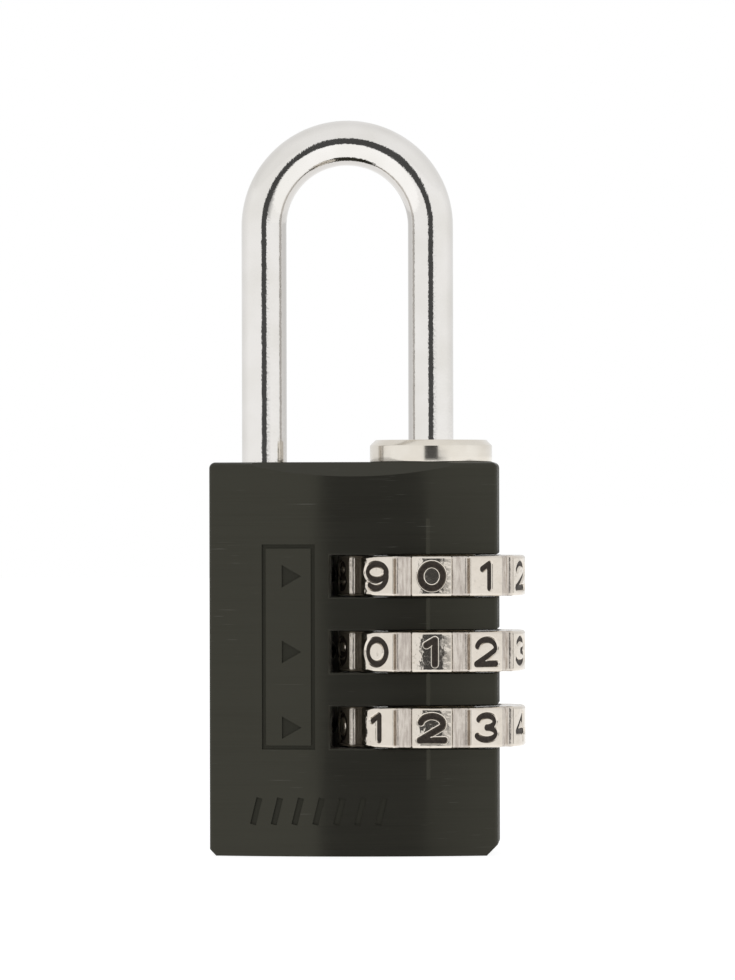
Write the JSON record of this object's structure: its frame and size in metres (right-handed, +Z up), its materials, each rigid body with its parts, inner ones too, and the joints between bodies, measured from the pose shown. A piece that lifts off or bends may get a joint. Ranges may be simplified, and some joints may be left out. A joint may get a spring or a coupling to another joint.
{
  "type": "combination padlock",
  "caption": "Small black padlock with number dials along one side and a slim steel shackle that lifts when the code is set.",
  "frame": {"origin": "middle of the base of the whole lock's bounding box, on the plane the case stands on", "axes": "+Z up along the shackle's legs, -Y out of the front face with the reading line, +X towards the side the dials stick out of"},
  "size_m": [0.0219, 0.0132, 0.0512],
  "materials": {
    "anodised_case": "black anodised, fine horizontal brushing, satin",
    "shackle_steel": "bright nickel-chrome plate",
    "collar_nickel": "satin nickel plate",
    "dial_nickel": "nickel plate over die casting, black-filled numbers",
    "sleeve_brass": "turned brass",
    "pin_steel": "ground hardened steel",
    "ball_steel": "polished steel ball",
    "spring_steel": "drawn spring wire"
  },
  "bodies": {
    "lock_body": {"case": "anodised_case", "shackle_collar": "collar_nickel", "sleeve_spring": "spring_steel", "spring_washer": "spring_steel", "detent_spring_top": "spring_steel", "detent_spring_middle": "spring_steel", "detent_spring_bottom": "spring_steel"},
    "shackle_bow": {"shackle": "shackle_steel", "cross_pin_top": "pin_steel", "cross_pin_middle": "pin_steel", "cross_pin_bottom": "pin_steel"},
    "top_dial": {"dial_top": "dial_nickel", "code_sleeve_top": "sleeve_brass"},
    "top_detent": {"detent_ball_top": "ball_steel"},
    "middle_dial": {"dial_middle": "dial_nickel", "code_sleeve_middle": "sleeve_brass"},
    "middle_detent": {"detent_ball_middle": "ball_steel"},
    "bottom_dial": {"dial_bottom": "dial_nickel", "code_sleeve_bottom": "sleeve_brass"},
    "bottom_detent": {"detent_ball_bottom": "ball_steel"}
  },
  "joints": [
    {"name": "shackle_lift", "type": "slide", "parent": "lock_body", "child": "shackle_bow", "axis": [0, 0, 1], "range_m": [0, 0.00524]},
    {"name": "top_dial_spin", "type": "hinge", "parent": "lock_body", "child": "top_dial", "pos_m": [0.00435, 0, 0.0194], "axis": [0, 0, 1], "continuous": true},
    {"name": "middle_dial_spin", "type": "hinge", "parent": "lock_body", "child": "middle_dial", "pos_m": [0.00435, 0, 0.01416], "axis": [0, 0, 1], "continuous": true},
    {"name": "bottom_dial_spin", "type": "hinge", "parent": "lock_body", "child": "bottom_dial", "pos_m": [0.00435, 0, 0.00892], "axis": [0, 0, 1], "continuous": true},
    {"name": "top_detent_slide", "type": "slide", "parent": "lock_body", "child": "top_detent", "axis": [1, 0, 0], "range_m": [0, 0.00028], "stiffness_N_per_m": 300, "springref_m": 0.0012, "deforming": ["detent_spring_top"]},
    {"name": "middle_detent_slide", "type": "slide", "parent": "lock_body", "child": "middle_detent", "axis": [1, 0, 0], "range_m": [0, 0.00028], "stiffness_N_per_m": 300, "springref_m": 0.0012, "deforming": ["detent_spring_middle"]},
    {"name": "bottom_detent_slide", "type": "slide", "parent": "lock_body", "child": "bottom_detent", "axis": [1, 0, 0], "range_m": [0, 0.00028], "stiffness_N_per_m": 300, "springref_m": 0.0012, "deforming": ["detent_spring_bottom"]}
  ]
}
